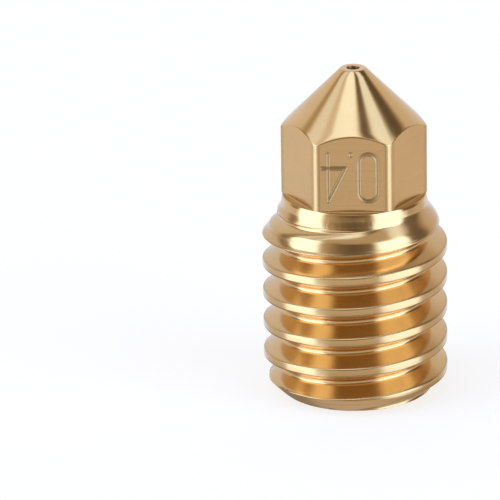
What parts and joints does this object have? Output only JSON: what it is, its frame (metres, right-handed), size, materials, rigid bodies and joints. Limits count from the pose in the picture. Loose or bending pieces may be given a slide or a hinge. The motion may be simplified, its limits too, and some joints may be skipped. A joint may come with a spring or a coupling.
{
  "type": "filament printer nozzle",
  "caption": "Turned brass nozzle with a threaded shank, a hexagonal head, a conical tip, a filament bore and a fine orifice.",
  "frame": {"origin": "centre of the inlet end face, on the nozzle's axis", "axes": "+Z along the nozzle's axis towards the tip; the engraved flat of the hexagon faces -Y, and two of its corners lie at -X and +X"},
  "size_m": [0.0058, 0.0058, 0.0105],
  "materials": {
    "brass": "turned, bright"
  },
  "bodies": {
    "root": {"nozzle": "brass"}
  },
  "joints": []
}
